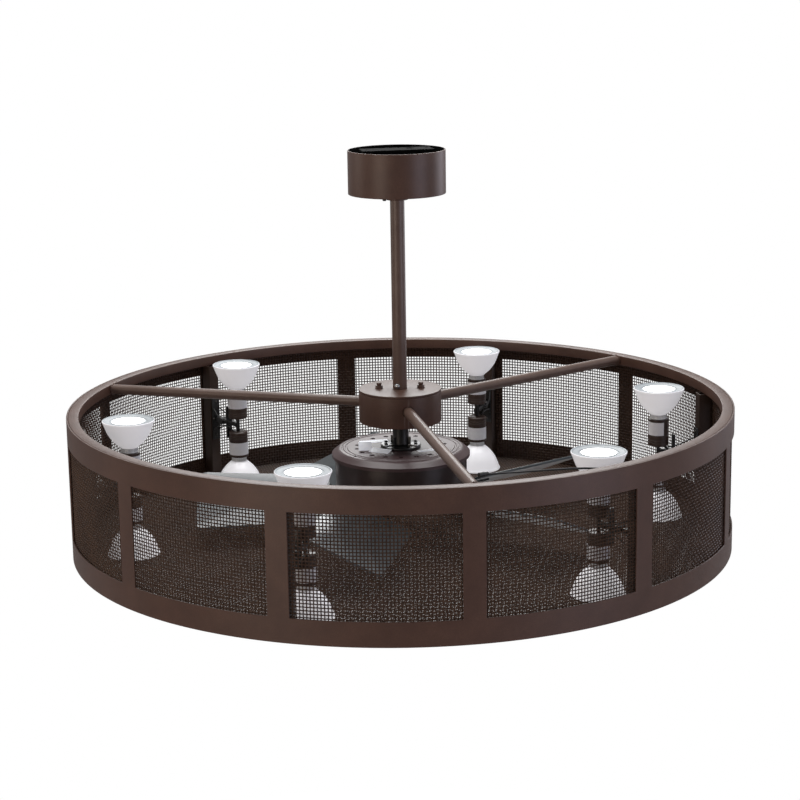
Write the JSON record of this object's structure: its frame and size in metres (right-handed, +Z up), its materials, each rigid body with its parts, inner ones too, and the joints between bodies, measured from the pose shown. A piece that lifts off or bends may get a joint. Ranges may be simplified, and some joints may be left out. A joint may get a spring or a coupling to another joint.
{
  "type": "ceiling_fan",
  "caption": "Ceiling fan inside a wide mesh-walled drum with twin lamps round its inside, hung on a round rod from a ceiling bracket under a cup canopy",
  "frame": {"origin": "middle of the ceiling bracket's top face, which lies on the ceiling", "axes": "+Z up along the rod; the drum hangs towards -Z; +X runs through one lamp channel and its window post"},
  "size_m": [1.22, 1.22, 0.727],
  "materials": {
    "bronze_paint": "bronze-brown powder coat",
    "black_paint": "satin black paint",
    "lid_paint": "semi-gloss mauve-brown enamel",
    "zinc_steel": "zinc-plated",
    "socket_black": "moulded black plastic",
    "lamp_white": "white lamp body",
    "stator_core": "laminated core with windings",
    "blade_grey": "dark grey foil on wood board",
    "lead_black": "black cable sheath"
  },
  "bodies": {
    "ceiling": {"ceiling_bracket": "black_paint"},
    "ball": {"hanger_ball": "black_paint", "hanger_pin": "zinc_steel"},
    "stem": {"bottom_cap": "bronze_paint", "bottom_guard": "bronze_paint", "bottom_ring": "bronze_paint", "downrod": "bronze_paint", "drum_shell": "bronze_paint", "hub_bolt_1": "bronze_paint", "hub_bolt_2": "bronze_paint", "hub_cover": "bronze_paint", "hub_shell": "bronze_paint", "lamp_channel_1": "bronze_paint", "lamp_channel_2": "bronze_paint", "lamp_channel_3": "bronze_paint", "lamp_channel_4": "bronze_paint", "lamp_channel_5": "bronze_paint", "lamp_channel_6": "bronze_paint", "lamp_down_1": "lamp_white", "lamp_down_2": "lamp_white", "lamp_down_3": "lamp_white", "lamp_down_4": "lamp_white", "lamp_down_5": "lamp_white", "lamp_down_6": "lamp_white", "lamp_holder_1": "socket_black", "lamp_holder_2": "socket_black", "lamp_holder_3": "socket_black", "lamp_holder_4": "socket_black", "lamp_holder_5": "socket_black", "lamp_holder_6": "socket_black", "lamp_lead": "lead_black", "lamp_up_1": "lamp_white", "lamp_up_2": "lamp_white", "lamp_up_3": "lamp_white", "lamp_up_4": "lamp_white", "lamp_up_5": "lamp_white", "lamp_up_6": "lamp_white", "mesh_liner": "bronze_paint", "motor_housing": "bronze_paint", "motor_shaft": "zinc_steel", "motor_stem": "black_paint", "motor_top_plate": "lid_paint", "rod_bolt": "zinc_steel", "spoke_1": "bronze_paint", "spoke_2": "bronze_paint", "spoke_3": "bronze_paint", "stator": "stator_core", "top_ring": "bronze_paint"},
    "canopy": {"canopy": "bronze_paint", "canopy_collar": "bronze_paint", "collar_screw": "black_paint"},
    "rotor": {"rotor_shell": "black_paint", "upper_bearing": "zinc_steel", "lower_bearing": "zinc_steel", "blade_carrier": "black_paint", "blade_1": "blade_grey", "blade_2": "blade_grey", "blade_3": "blade_grey", "blade_4": "blade_grey", "blade_5": "blade_grey"}
  },
  "joints": [
    {"name": "hang_swing_front", "type": "hinge", "parent": "ceiling", "child": "ball", "pos_m": [0, 0, -0.036], "axis": [1, 0, 0], "range_deg": [-4, 4]},
    {"name": "hang_swing_side", "type": "hinge", "parent": "ball", "child": "stem", "pos_m": [0, 0, -0.036], "axis": [0, 1, 0], "range_deg": [-4, 4]},
    {"name": "canopy_slide", "type": "slide", "parent": "stem", "child": "canopy", "axis": [0, 0, -1], "range_m": [0, 0.33]},
    {"name": "rotor_spin", "type": "hinge", "parent": "stem", "child": "rotor", "pos_m": [0, 0, -0.6], "axis": [0, 0, 1], "continuous": true}
  ]
}
